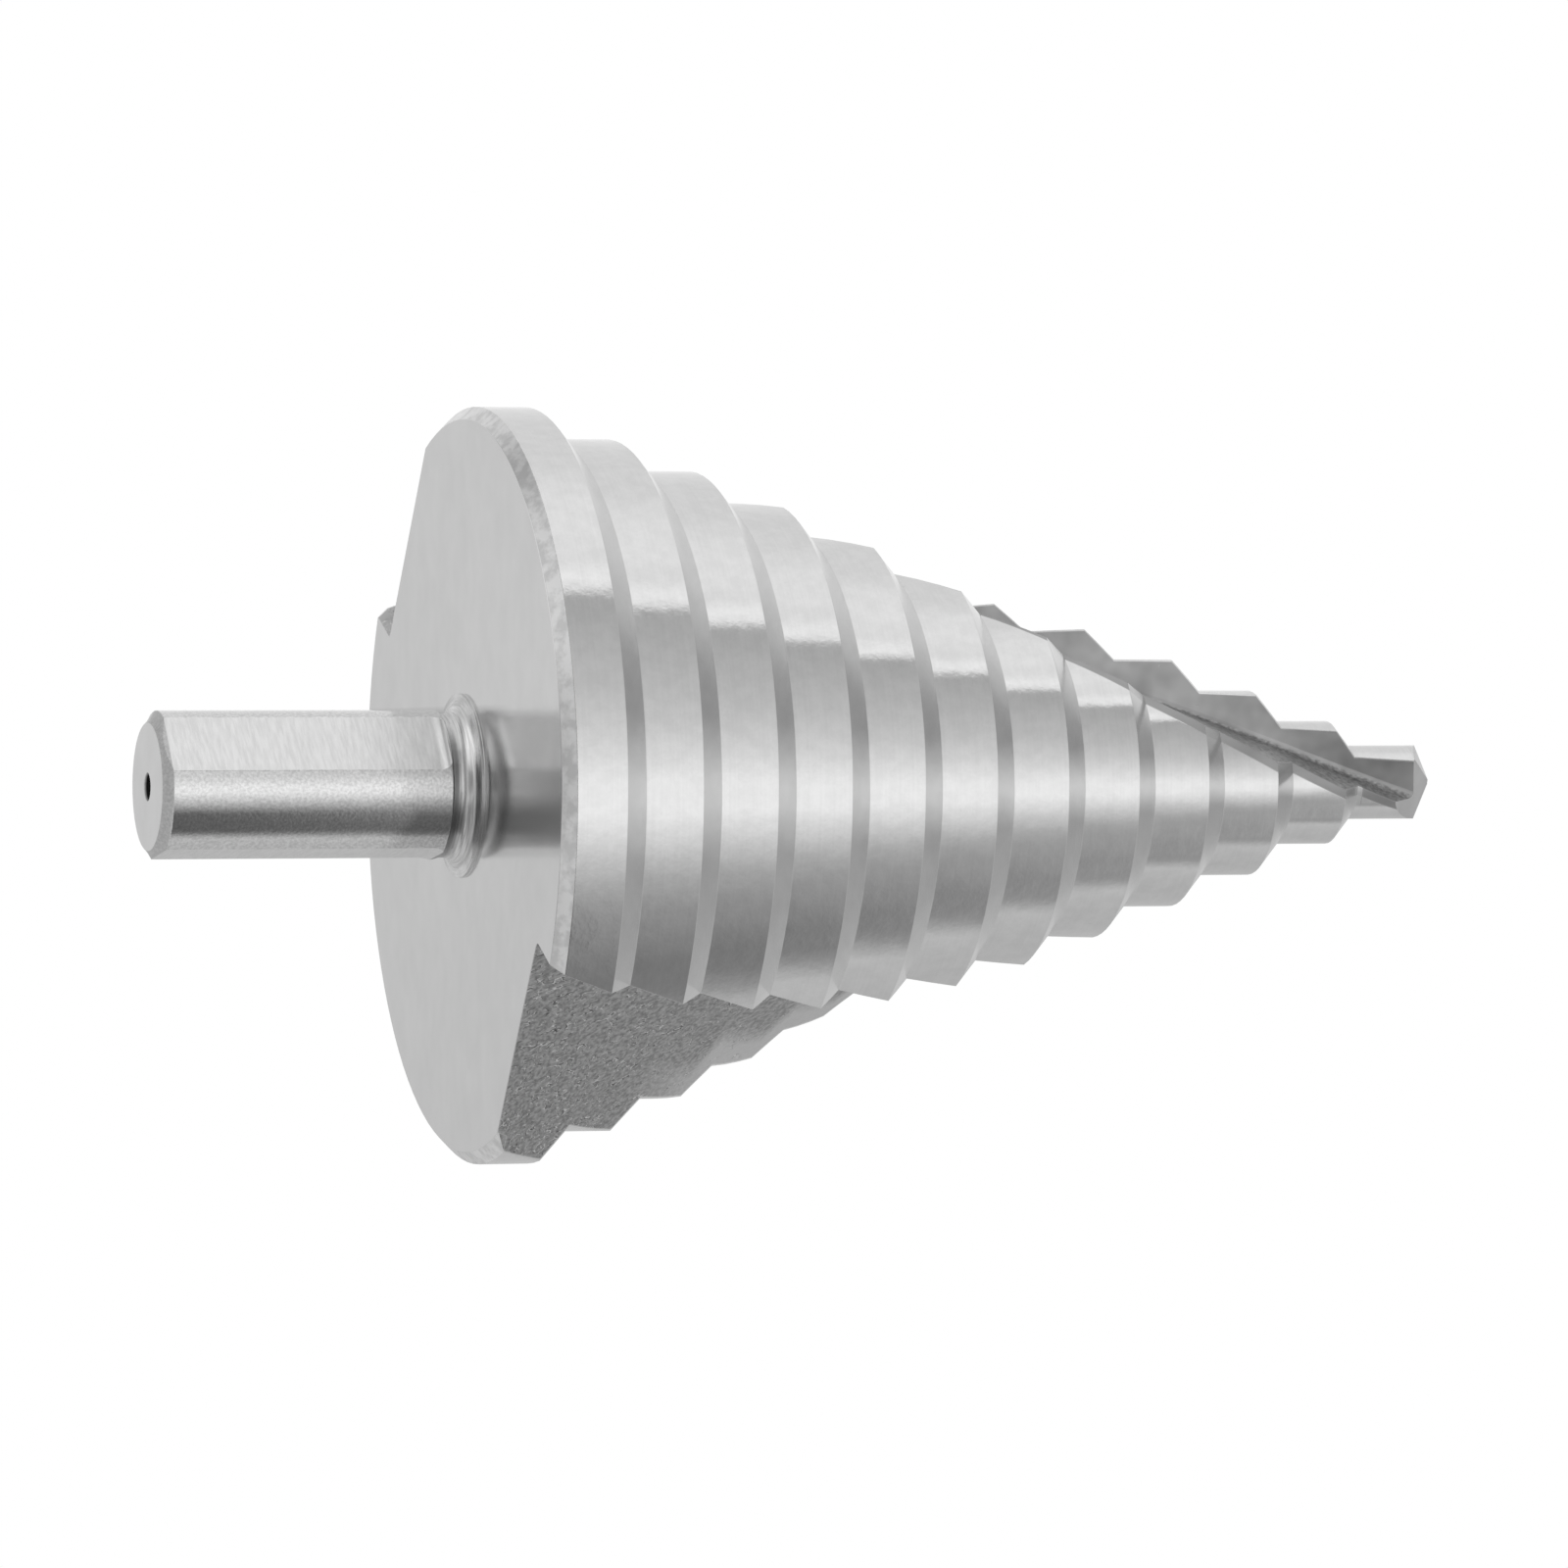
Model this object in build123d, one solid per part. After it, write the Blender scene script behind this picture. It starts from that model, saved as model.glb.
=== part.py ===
from build123d import *
from math import cos, radians, sin, tan
import os

# A step drill in one piece of steel: a round shank with three flats, a flared
# neck, and a stepped cone of twelve cutting diameters with two helical flutes.
# Millimetres. The axis is Z, the centre of the shank's end is the origin, and
# the point is up. The working direction of the tool is +Z.

# Shank
SHANK_D = 12.0
SHANK_END_CHAMFER_R = 1.0
SHANK_END_CHAMFER_Z = 0.75
SHANK_END_CROWN_R = 4.0
FLAT_DISTANCE = 5.37
FLAT_END_Z = 24.0
FLAT_RUNOUT_R = 1.6
FIRST_FLAT_AZIMUTH = -128.5
FLAT_COUNT = 3

# Centre hole in the shank's end, left from turning between centres
CENTRE_CONE_D = 2.3
CENTRE_PILOT_D = 1.25
CENTRE_CONE_ANGLE = 60.0
CENTRE_PILOT_DEPTH = 2.6

# Neck between the shank and the largest step
NECK_START_Z = 23.25
NECK_GROOVE_D = 11.4
NECK_GROOVE_SLOPE = 0.15
NECK_GROOVE_LENGTH = 0.45
NECK_FLARE_R = 1.35
NECK_LIP_D = 14.6
NECK_LIP_LENGTH = 0.28

# Stepped cone
BACK_FACE_Z = 25.5
STEP_DIAMETERS = (60.0, 55.0, 50.0, 45.0, 40.0, 35.0, 30.0, 25.0, 20.0, 15.0, 10.0, 6.0)
FIRST_STEP_LENGTH = 5.0
STEP_PITCH = 6.8
LAST_STEP_LENGTH = 7.7
BACK_BEVEL = 1.0
STEP_CHAMFER_ANGLE = 48.65
POINT_HEIGHT = 1.25

# Flutes: two of them, half a turn apart, right-handed. Each is a groove with a
# short wall, the cutting face, and a long wall that leans away from it. The
# cutting face runs ahead of the axis by half the web, the root nears the axis
# in a straight line towards the point, and the turn slows towards the shank.
FLUTE_COUNT = 2
HALF_WEB = 1.3
ROOT_AT_BACK = 24.93
ROOT_CONE_ANGLE = 17.67
ROOT_RADIUS = 0.6
WALL_ANGLE = 101.6
FLUTE_AZIMUTH_AT_POINT = -149.6
FLUTE_TURN_ANGLE = 94.6
FLUTE_EASE = 0.355
FLUTE_STATIONS = 19

# Point: four flat facets in two pairs, a lip facet and a steeper heel facet on
# each side. Each falls at its angle below square to the axis, in a direction
# measured from the cutting face. The heel facets meet in a short chisel edge.
LIP_FACET_ANGLE = 35.3
LIP_FACET_DIRECTION = 22.0
LIP_FACET_RISE = 0.12
HEEL_FACET_ANGLE = 52.0
HEEL_FACET_DIRECTION = 79.0


def step_profile():
    # Corners of the stepped cone's outline as (radius, height), from the back
    # face to the start of the point.
    radius = STEP_DIAMETERS[0] / 2
    front = BACK_FACE_Z + FIRST_STEP_LENGTH
    corners = [
        (radius - BACK_BEVEL, BACK_FACE_Z),
        (radius, BACK_FACE_Z + BACK_BEVEL),
        (radius, front),
    ]
    for diameter in STEP_DIAMETERS[1:]:
        drop = radius - diameter / 2
        radius = diameter / 2
        corners.append((radius, front + drop / tan(radians(STEP_CHAMFER_ANGLE))))
        last = diameter == STEP_DIAMETERS[-1]
        front += LAST_STEP_LENGTH if last else STEP_PITCH
        corners.append((radius, front))
    return corners


CORNERS = step_profile()
POINT_BASE_Z = CORNERS[-1][1]
TOTAL_LENGTH = POINT_BASE_Z + POINT_HEIGHT
FLUTED_LENGTH = POINT_BASE_Z - BACK_FACE_Z
LARGEST_R = STEP_DIAMETERS[0] / 2


def turned_blank():
    # The turned blank: shank, centre hole, neck and stepped cone in one
    # revolved outline. The last step is left long for grinding the point.
    shank_r = SHANK_D / 2
    cone_r = CENTRE_CONE_D / 2
    pilot_r = CENTRE_PILOT_D / 2
    cone_depth = (cone_r - pilot_r) / tan(radians(CENTRE_CONE_ANGLE / 2))
    groove_r = NECK_GROOVE_D / 2
    groove_z = NECK_START_Z + NECK_GROOVE_SLOPE
    flare_z = groove_z + NECK_GROOVE_LENGTH
    flare_end = (groove_r + NECK_FLARE_R, flare_z + NECK_FLARE_R)
    lip_r = NECK_LIP_D / 2
    lip_z = BACK_FACE_Z - NECK_LIP_LENGTH
    end_edge = (shank_r - SHANK_END_CHAMFER_R, 0)
    shoulder = (shank_r, SHANK_END_CHAMFER_Z)
    with BuildSketch(Plane.XZ) as outline:
        with BuildLine():
            Polyline(
                (0, CENTRE_PILOT_DEPTH),
                (pilot_r, CENTRE_PILOT_DEPTH),
                (pilot_r, cone_depth),
                (cone_r, 0),
                end_edge,
            )
            RadiusArc(end_edge, shoulder, SHANK_END_CROWN_R)
            Polyline(
                shoulder,
                (shank_r, NECK_START_Z),
                (groove_r, groove_z),
                (groove_r, flare_z),
            )
            TangentArc((groove_r, flare_z), flare_end, tangent=(0, 1))
            Polyline(
                flare_end,
                (flare_end[0], lip_z),
                (lip_r, lip_z),
                (lip_r, BACK_FACE_Z),
                *CORNERS[:-1],
                (STEP_DIAMETERS[-1] / 2, TOTAL_LENGTH + POINT_HEIGHT),
                (0, TOTAL_LENGTH + POINT_HEIGHT),
                (0, CENTRE_PILOT_DEPTH),
            )
        make_face()
    return revolve(outline.sketch, Axis.Z)


def flat_cutter(azimuth):
    # One shank flat: a block above the flat whose far end is rounded, which
    # leaves the curved run-out at the neck.
    below_end = -SHANK_D / 4
    runout_start = (FLAT_DISTANCE, FLAT_END_Z - FLAT_RUNOUT_R)
    runout_end = (FLAT_DISTANCE + FLAT_RUNOUT_R, FLAT_END_Z)
    with BuildSketch(Plane.XZ) as side:
        with BuildLine():
            Polyline(
                runout_start,
                (FLAT_DISTANCE, below_end),
                (SHANK_D, below_end),
                (SHANK_D, FLAT_END_Z),
                runout_end,
            )
            RadiusArc(runout_end, runout_start, -FLAT_RUNOUT_R)
        make_face()
    block = extrude(side.sketch, SHANK_D, both=True)
    return Rot(0, 0, azimuth) * block


def flute_azimuth(z):
    # Direction of the cutting face at a height, in degrees round the axis.
    share = (POINT_BASE_Z - z) / FLUTED_LENGTH
    return FLUTE_AZIMUTH_AT_POINT - FLUTE_TURN_ANGLE * share * (1 + FLUTE_EASE - FLUTE_EASE * share)


def flute_frame(z):
    # Plane across the axis at a height, turned with the helix: its x runs out
    # along the cutting face and its y runs into the groove.
    angle = radians(flute_azimuth(z))
    return Plane(origin=(0, 0, z), x_dir=(cos(angle), sin(angle), 0), z_dir=(0, 0, 1))


def flute_section(z):
    # Cross-section of the groove at a height. Its outer corner stays clear of
    # the largest step, so the same outline serves all the way up.
    root = ROOT_AT_BACK - (z - BACK_FACE_Z) * tan(radians(ROOT_CONE_ANGLE))
    reach = LARGEST_R - ROOT_AT_BACK + LARGEST_R / 4
    lean = radians(WALL_ANGLE)
    heel = (root + LARGEST_R * cos(lean), HALF_WEB + LARGEST_R * sin(lean))
    rim = (root + reach, HALF_WEB)
    with BuildSketch(flute_frame(z)) as section:
        with BuildLine():
            FilletPolyline(heel, (root, HALF_WEB), rim, radius=ROOT_RADIUS)
            Polyline(rim, (rim[0], heel[1]), heel)
        make_face()
    return section.sketch


def flute_cutter():
    # The groove runs a little past the back face and the point.
    overrun = FLUTED_LENGTH / 20
    start = BACK_FACE_Z - overrun
    spacing = (TOTAL_LENGTH + overrun - start) / (FLUTE_STATIONS - 1)
    heights = [start + spacing * i for i in range(FLUTE_STATIONS)]
    return loft([flute_section(z) for z in heights])


def facet_cutter(start_z, direction, fall_angle):
    # One facet of the point: a block whose floor starts on the axis and falls
    # away to one side.
    size = 4 * STEP_DIAMETERS[-1]
    seat = flute_frame(TOTAL_LENGTH) * Pos(0, 0, start_z - TOTAL_LENGTH)
    floor = seat * Rot(0, 0, direction) * Rot(0, fall_angle, 0)
    return floor * Box(size, size, size, align=(Align.CENTER, Align.CENTER, Align.MIN))


drill = turned_blank()
for i in range(FLAT_COUNT):
    drill -= flat_cutter(FIRST_FLAT_AZIMUTH + 360 / FLAT_COUNT * i)
groove = flute_cutter()
lip_facet = facet_cutter(TOTAL_LENGTH + LIP_FACET_RISE, LIP_FACET_DIRECTION, LIP_FACET_ANGLE)
heel_facet = facet_cutter(TOTAL_LENGTH, HEEL_FACET_DIRECTION, HEEL_FACET_ANGLE)
for i in range(FLUTE_COUNT):
    turn = Rot(0, 0, 360 / FLUTE_COUNT * i)
    drill -= turn * groove
    drill -= turn * lip_facet
    drill -= turn * heel_facet

drill.label = "step_drill"
print("solids", len(drill.solids()), "valid", drill.is_valid, "volume cm3", round(drill.volume / 1000, 2))
print("length", round(TOTAL_LENGTH, 2), "box", drill.bounding_box())

os.makedirs("parts", exist_ok=True)
export_step(drill, "parts/step_drill.step")
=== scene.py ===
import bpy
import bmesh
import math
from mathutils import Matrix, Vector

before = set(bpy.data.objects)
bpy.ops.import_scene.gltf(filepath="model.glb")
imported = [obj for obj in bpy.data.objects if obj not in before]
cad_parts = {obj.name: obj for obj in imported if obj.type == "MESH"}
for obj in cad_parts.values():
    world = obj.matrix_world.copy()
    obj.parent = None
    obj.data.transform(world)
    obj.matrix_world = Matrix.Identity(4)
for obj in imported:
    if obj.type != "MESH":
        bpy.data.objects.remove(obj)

# %% [markdown]
# ## A step drill under studio light
#
# The object is a step drill: one bar of tool steel, turned to a cone of twelve
# steps, with two helical flutes ground through it and a round shank that has
# three flats for a drill chuck. It is bare metal, so nearly all that the eye
# sees is reflection. This lesson therefore spends its care on two things: what
# stands round the drill to be reflected, and how each of its surfaces was cut.

for name in ("Cube", "Camera", "Light"):
    left_over = bpy.data.objects.get(name)
    if left_over:
        bpy.data.objects.remove(left_over, do_unlink=True)

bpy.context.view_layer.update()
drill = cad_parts["step_drill"]
MM = 0.001

# %% [markdown]
# ## Camera
#
# The drill stands upright on its shank. The picture shows it lying on its side,
# so the camera is rolled a quarter turn. It looks from 17 degrees under the
# back of the cone, and from far away with a long lens, so that the shank's end
# and the cone's back are both seen and the steps keep their true proportions.
# The three directions of the camera are written out and stacked in a matrix,
# which is exact where angles entered one by one would need tuning. Tilt and
# roll are in radians. The aim is counted from the middle of the drill, in
# millimetres to the picture's left and down.

# %% Place the camera
CAMERA_TILT, CAMERA_ROLL = 0.3025, 0.0039
CAMERA_DISTANCE = 746.998 * MM
DRILL_MIDDLE = 65 * MM
AIM_LEFT, AIM_DOWN = 12.1222, 0.0185
PICTURE_WIDTH, PIXELS_PER_MM = 1600, 12.6786
SENSOR_WIDTH = 36

sin_tilt, cos_tilt = math.sin(CAMERA_TILT), math.cos(CAMERA_TILT)
sin_roll, cos_roll = math.sin(CAMERA_ROLL), math.cos(CAMERA_ROLL)
picture_right = Vector((sin_roll, -sin_tilt * cos_roll, cos_tilt * cos_roll))
picture_up = Vector((-cos_roll, -sin_roll * sin_tilt, sin_roll * cos_tilt))
towards_camera = Vector((0, -cos_tilt, -sin_tilt))
aim = Vector((0, 0, DRILL_MIDDLE)) - picture_right * AIM_LEFT * MM - picture_up * AIM_DOWN * MM

camera = bpy.data.objects.new("camera", bpy.data.cameras.new("camera"))
bpy.context.scene.collection.objects.link(camera)
bpy.context.scene.camera = camera
camera.data.sensor_width = SENSOR_WIDTH
camera.data.lens = SENSOR_WIDTH * PIXELS_PER_MM * CAMERA_DISTANCE / MM / PICTURE_WIDTH
camera.data.clip_start = 0.01
placed = Matrix((picture_right, picture_up, towards_camera)).transposed().to_4x4()
placed.translation = aim + towards_camera * CAMERA_DISTANCE
camera.matrix_world = placed
print("lens", round(camera.data.lens, 1), "mm, camera at", [round(v, 3) for v in placed.translation])

# %% [markdown]
# ## Helpers
#
# Three small functions serve the whole lesson. The first turns a colour as a
# painter reads it, a hex value on screen, into the linear values that light
# needs. The second adds one node to a material, with its settings and its
# links, so that each line below reads as one step of the recipe. The third
# starts a material with an empty tree of nodes.

# %% Three helpers
def linear(hex_colour):
    channels = [int(hex_colour[i:i + 2], 16) / 255 for i in (1, 3, 5)]
    return [c / 12.92 if c <= 0.04045 else ((c + 0.055) / 1.055) ** 2.4 for c in channels] + [1.0]


def add(tree, kind, inputs=None, **settings):
    made = tree.nodes.new("ShaderNode" + kind)
    for key, value in settings.items():
        setattr(made, key, value)
    for key, value in (inputs or {}).items():
        if isinstance(value, bpy.types.NodeSocket):
            tree.links.new(value, made.inputs[key])
        else:
            made.inputs[key].default_value = value
    return made


def new_material(name):
    made = bpy.data.materials.new(name)
    made.use_nodes = True
    made.node_tree.nodes.clear()
    return made, made.node_tree


print("white is", linear("#ffffff"), "and mid grey is", round(linear("#808080")[0], 3))

# %% [markdown]
# ## The light tent
#
# Bright metal in an open room shows the whole room. A photographer puts it in a
# tent of white cloth instead, and leaves an opening for the camera. The panels
# of the tent get more or less light, and each panel comes back from the drill
# as a stripe along its steps. The stripes are at the same angle on every step,
# because each land of the drill is a cylinder about the same axis.
#
# The tent is half a sphere, 0.7 m in radius, cut off a millimetre under the
# shank's end. Its cloth glows by itself, and the camera sees neither the cloth
# nor any shadow of it: it is there for the metal.

# %% Shape of the tent
TENT_RADIUS = 0.7

shape = bmesh.new()
bmesh.ops.create_uvsphere(shape, u_segments=96, v_segments=48, radius=TENT_RADIUS)
bmesh.ops.bisect_plane(
    shape, geom=shape.verts[:] + shape.edges[:] + shape.faces[:], dist=1e-6,
    plane_co=(0, 0, -MM), plane_no=(0, 0, -1), clear_outer=True,
)
bmesh.ops.reverse_faces(shape, faces=shape.faces)
mesh = bpy.data.meshes.new("light_tent")
shape.to_mesh(mesh)
shape.free()
for face in mesh.polygons:
    face.use_smooth = True
tent = bpy.data.objects.new("light_tent", mesh)
bpy.context.scene.collection.objects.link(tent)
tent.visible_camera = False
tent.visible_diffuse = False
tent.visible_shadow = False
tent.visible_transmission = False
print("tent has", len(mesh.polygons), "faces")

# %% [markdown]
# The light of the cloth is written down by direction. Angles round the drill
# are counted from the camera's opening, and positive ones go to the side that
# is up in the picture. There the wall has one sharp edge, at 58 to 60 degrees,
# where a bright panel starts: it is the sharp stripe on the steps. The wall is
# darkest at about 65 degrees on the other side. From 23 to 32 degrees up the
# roof takes over, which is written down by height, once for each side.
#
# Each row holds pairs of a place and a level of light there. One function lays
# such a row on a colour ramp, and another gives the direction of a place round
# the axis as a share of the whole turn, which is what the ramp reads.

# %% Light of the cloth, by direction
WALL_LIGHT = (
    (-180, 0.58), (-160, 0.52), (-120, 0.50), (-100, 0.53), (-87, 0.57), (-82, 0.47),
    (-76, 0.32), (-70, 0.22), (-60, 0.21), (-48, 0.29), (-40, 0.34), (-30, 0.46),
    (-20, 0.70), (-9, 0.99), (0, 0.99), (10, 0.81), (20, 0.67), (30, 0.58),
    (44, 0.50), (58, 0.43), (60, 0.88), (64, 1.00), (70, 0.84), (80, 0.89),
    (96, 0.87), (112, 0.77), (140, 0.74), (160, 0.80), (180, 1.00),
)
HIGH_SIDE_ROOF = (
    (0, 0.80), (30, 0.80), (39, 0.79), (46, 0.61), (50, 0.38), (55, 0.37),
    (61, 0.54), (68, 0.54), (90, 0.50),
)
LOW_SIDE_ROOF = (
    (0, 0.62), (30, 0.63), (39, 0.56), (47, 0.47), (55, 0.45), (61, 0.47),
    (68, 0.50), (90, 0.50),
)


def set_stops(ramp, stops):
    low, span = stops[0][0], stops[-1][0] - stops[0][0]
    marks = ramp.color_ramp.elements
    for at, _ in stops[1:-1]:
        marks.new((at - low) / span)
    for mark, (at, level) in zip(marks, stops):
        mark.position = (at - low) / span
        mark.color = (level, level, level, 1)


def direction_round_axis(tree, split):
    to_top = add(tree, "Math", {0: split.outputs["X"], 1: -1.0}, operation="MULTIPLY")
    to_front = add(tree, "Math", {0: split.outputs["Y"], 1: -1.0}, operation="MULTIPLY")
    angle = add(tree, "Math", {0: to_top.outputs[0], 1: to_front.outputs[0]}, operation="ARCTAN2")
    return add(tree, "MapRange", {0: angle.outputs[0], 1: -math.pi, 2: math.pi, 3: 0.0, 4: 1.0}).outputs[0]


print("wall stops", len(WALL_LIGHT), "roof stops", len(HIGH_SIDE_ROOF), "on each side")

# %% [markdown]
# Height on the tent is counted from the middle of the drill, 65 mm up, and not
# from the floor. Then the wall's stripes stay on the lands of the small steps,
# and the roof stays in the corners between them.

# %% Cloth, by direction and height
cloth, tree = new_material("white_tent_cloth")
place = add(tree, "TexCoord")
split = add(tree, "SeparateXYZ", {0: place.outputs["Object"]})
direction = direction_round_axis(tree, split)
height = add(tree, "Math", {0: split.outputs["Z"], 1: DRILL_MIDDLE}, operation="SUBTRACT")
height = add(tree, "Math", {0: height.outputs[0], 1: TENT_RADIUS}, operation="DIVIDE")
rise = add(tree, "Math", {0: height.outputs[0]}, operation="ARCSINE")
rise_share = add(tree, "Math", {0: rise.outputs[0], 1: math.pi / 2}, operation="DIVIDE").outputs[0]
wall = add(tree, "ValToRGB", {0: direction})
high_roof = add(tree, "ValToRGB", {0: rise_share})
low_roof = add(tree, "ValToRGB", {0: rise_share})
for ramp, stops in ((wall, WALL_LIGHT), (high_roof, HIGH_SIDE_ROOF), (low_roof, LOW_SIDE_ROOF)):
    set_stops(ramp, stops)
wall = wall.outputs[0]
print("cloth has", len(tree.nodes), "nodes so far")

# %% [markdown]
# The wall's dark panel isn't even. It is darkest at its foot, which the shank
# shows, and it gets lighter towards its top, which the small steps show. Each
# row below gives the height in degrees where such a part starts, where it is
# full, and its level of light. The roof is laid over the wall last.

# %% Dark panel and roof
DARK_PANEL = ((-180, 0.0), (-80, 0.0), (-70, 1.0), (-42, 1.0), (-30, 0.0), (180, 0.0))
PANEL_TOP, PANEL_FOOT = (14, 24, 0.43), (12, 9, 0.12)
ROOF_STARTS, ROOF_FULL = 23, 32
SIDES_BLEND = 60 * MM

panel = add(tree, "ValToRGB", {0: direction})
set_stops(panel, DARK_PANEL)
for start, full, level in (PANEL_TOP, PANEL_FOOT):
    part = add(tree, "MapRange", {0: rise_share, 1: start / 90, 2: full / 90, 3: 0.0, 4: 1.0})
    part = add(tree, "Math", {0: part.outputs[0], 1: panel.outputs[0]}, operation="MULTIPLY")
    mixed = {0: part.outputs[0], 6: wall, 7: (level, level, level, 1)}
    wall = add(tree, "Mix", mixed, data_type="RGBA").outputs[2]
across = {0: split.outputs["X"], 1: -SIDES_BLEND, 2: SIDES_BLEND, 3: 0.0, 4: 1.0}
side = add(tree, "MapRange", across)
both_sides = {0: side.outputs[0], 6: high_roof.outputs[0], 7: low_roof.outputs[0]}
roof = add(tree, "Mix", both_sides, data_type="RGBA").outputs[2]
takeover = {0: rise_share, 1: ROOF_STARTS / 90, 2: ROOF_FULL / 90, 3: 0.0, 4: 1.0}
above_wall = add(tree, "MapRange", takeover)
light = add(tree, "Mix", {0: above_wall.outputs[0], 6: wall, 7: roof}, data_type="RGBA")
print("cloth has", len(tree.nodes), "nodes")

# %% [markdown]
# One lamp stands behind the roof's cloth, high above the camera. The corners
# between the steps show it in their middle: what they send up towards the axis
# meets the next step first, and comes back from it to this side of the roof.

# %% Lamp behind the cloth
SPOT_PLACE = (0.008, -0.282, 0.640)
SPOT_CORE, SPOT_EDGE, SPOT_STRENGTH = 0.02, 0.21, 2.1

to_spot = add(tree, "VectorMath", {0: place.outputs["Object"], 1: SPOT_PLACE}, operation="DISTANCE")
fading = {0: to_spot.outputs["Value"], 1: SPOT_CORE, 2: SPOT_EDGE, 3: SPOT_STRENGTH, 4: 1.0}
spot = add(tree, "MapRange", fading)
glow = add(tree, "Emission", {"Color": light.outputs[2], "Strength": spot.outputs[0]})
add(tree, "OutputMaterial", {"Surface": glow.outputs[0]})
tent.data.materials.append(cloth)
print("spot lies", round(Vector(SPOT_PLACE).length, 2), "m from the drill's foot")

# %% [markdown]
# ## Floor and background
#
# The floor is pale and plain. Seen from above it takes the drill's shadow. The
# camera of the picture is below it, so its underside lets the view through. It
# lies a fifth of a millimetre under the shank, so that the two never fight for
# the same place. The world behind is white.

# %% Floor
FLOOR_RADIUS, FLOOR_DROP = 3.0, 0.2 * MM

shape = bmesh.new()
bmesh.ops.create_circle(shape, cap_ends=True, segments=96, radius=FLOOR_RADIUS)
bmesh.ops.translate(shape, verts=shape.verts, vec=(0, 0, -FLOOR_DROP))
mesh = bpy.data.meshes.new("floor")
shape.to_mesh(mesh)
shape.free()
floor = bpy.data.objects.new("floor", mesh)
bpy.context.scene.collection.objects.link(floor)
print("floor normal", [round(v, 1) for v in mesh.polygons[0].normal])

# %% [markdown]
# The metal sees the floor too. A real table is not even in such a mirror: it is
# dark where the camera and the photographer stand in the way of the light. The
# flat back of the cone shows the shank a second time, and this dark side of the
# table is what that mirrored shank shows, from 5 to 9 cm from the axis. The
# neck looks down at the table close to the shank, where light and shadow change
# quickly, and shows them as bright and dark spots. The last centimetre of the
# shank sees the back face, and in it the table from 9 cm outward, which carries
# on the stripes of the wall. So the floor's look in the metal goes by direction,
# in one ring for each of the three. How strong each ring is at a distance in
# millimetres is a row of stops of its own.

# %% Rings of light and shadow on the floor
FAR_RING = (
    (-180, 0.62), (-128, 0.58), (-108, 0.37), (-88, 0.19), (-40, 0.14), (8, 0.16),
    (26, 0.24), (40, 0.31), (100, 0.35), (125, 0.60), (180, 0.68),
)
NEAR_RING = (
    (-180, 0.52), (-60, 0.30), (-36, 0.26), (-20, 0.62), (-6, 0.26), (22, 0.26),
    (42, 0.80), (70, 1.00), (110, 1.00), (140, 0.60), (180, 0.52),
)
OUTER_RING = (
    (-180, 0.63), (-150, 0.59), (-125, 0.57), (-100, 0.52), (-84, 0.50), (-76, 0.20), (-68, 0.13),
    (-46, 0.16), (-30, 0.42), (-12, 0.95), (4, 0.95), (20, 0.70), (56, 0.60), (62, 0.82),
    (110, 0.82), (130, 0.69), (150, 0.68), (180, 0.63),
)
RING_REACH = 120
OUTER_SHARE = ((0, 0.0), (84, 0.0), (90, 1.0), (RING_REACH, 1.0))
FAR_SHARE = ((0, 0.0), (48, 0.0), (58, 1.0), (85, 1.0), (94, 0.0), (RING_REACH, 0.0))
NEAR_SHARE = ((0, 0.0), (9, 0.0), (13, 1.0), (33, 1.0), (39, 0.0), (RING_REACH, 0.0))
print("rings have", len(OUTER_RING), len(FAR_RING), len(NEAR_RING), "stops of light")

# %% [markdown]
# The rings lie on a plain floor, which is a little lighter on the side that is
# up in the picture. The outermost ring is laid first and the nearest one last.

# %% Look of the floor in the metal
HIGH_SIDE_LEVEL, LOW_SIDE_LEVEL = 0.69, 0.58

table, tree = new_material("pale_matt_table")
place = add(tree, "TexCoord")
split = add(tree, "SeparateXYZ", {0: place.outputs["Object"]})
direction = direction_round_axis(tree, split)
distance = add(tree, "VectorMath", {0: place.outputs["Object"]}, operation="LENGTH").outputs["Value"]
distance = add(tree, "Math", {0: distance, 1: RING_REACH * MM}, operation="DIVIDE").outputs[0]
across = {0: split.outputs["X"], 1: -SIDES_BLEND, 2: SIDES_BLEND, 3: HIGH_SIDE_LEVEL, 4: LOW_SIDE_LEVEL}
in_metal = add(tree, "MapRange", across).outputs[0]
for ring, share in ((OUTER_RING, OUTER_SHARE), (FAR_RING, FAR_SHARE), (NEAR_RING, NEAR_SHARE)):
    ring_light = add(tree, "ValToRGB", {0: direction})
    ring_share = add(tree, "ValToRGB", {0: distance})
    set_stops(ring_light, ring)
    set_stops(ring_share, share)
    mixed = {0: ring_share.outputs[0], 6: in_metal, 7: ring_light.outputs[0]}
    in_metal = add(tree, "Mix", mixed, data_type="RGBA").outputs[2]
print("floor in the metal has", len(tree.nodes), "nodes")

# %% [markdown]
# Three looks meet on the floor. Seen from above it is matt board, pale and dull,
# and the shadow lies on it. In the metal it has the rings of light. Its
# underside is clear, because the picture is taken through it.

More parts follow.
